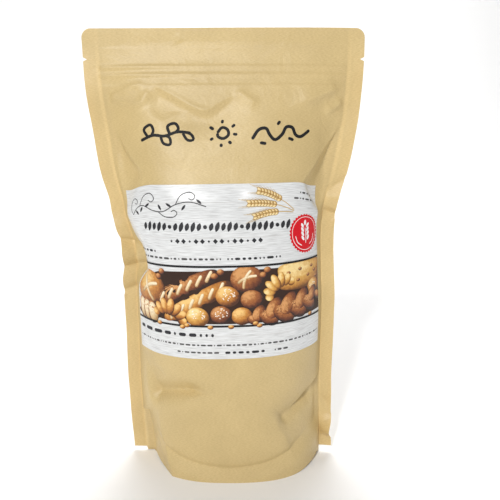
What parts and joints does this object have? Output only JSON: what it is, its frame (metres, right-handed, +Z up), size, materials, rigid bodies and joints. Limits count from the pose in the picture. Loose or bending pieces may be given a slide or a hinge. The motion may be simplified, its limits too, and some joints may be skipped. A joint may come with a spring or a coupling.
{
  "type": "bag of flour",
  "caption": "Filled stand-up pouch of kraft paper with a zip-locked flat top, sealed sides, a bottom gusset and a paper label on its front.",
  "frame": {"origin": "on the floor, under the middle of the pouch's box", "axes": "+X to the viewer's right along the pouch's width, -Y out of the labelled front, +Z up to the closed top"},
  "size_m": [0.178, 0.075, 0.295],
  "materials": {
    "kraft": "matte kraft film with a faint sheen",
    "label_paper": "semi-gloss printed label"
  },
  "bodies": {
    "root": {"pouch": "kraft", "label": "label_paper"}
  },
  "joints": []
}
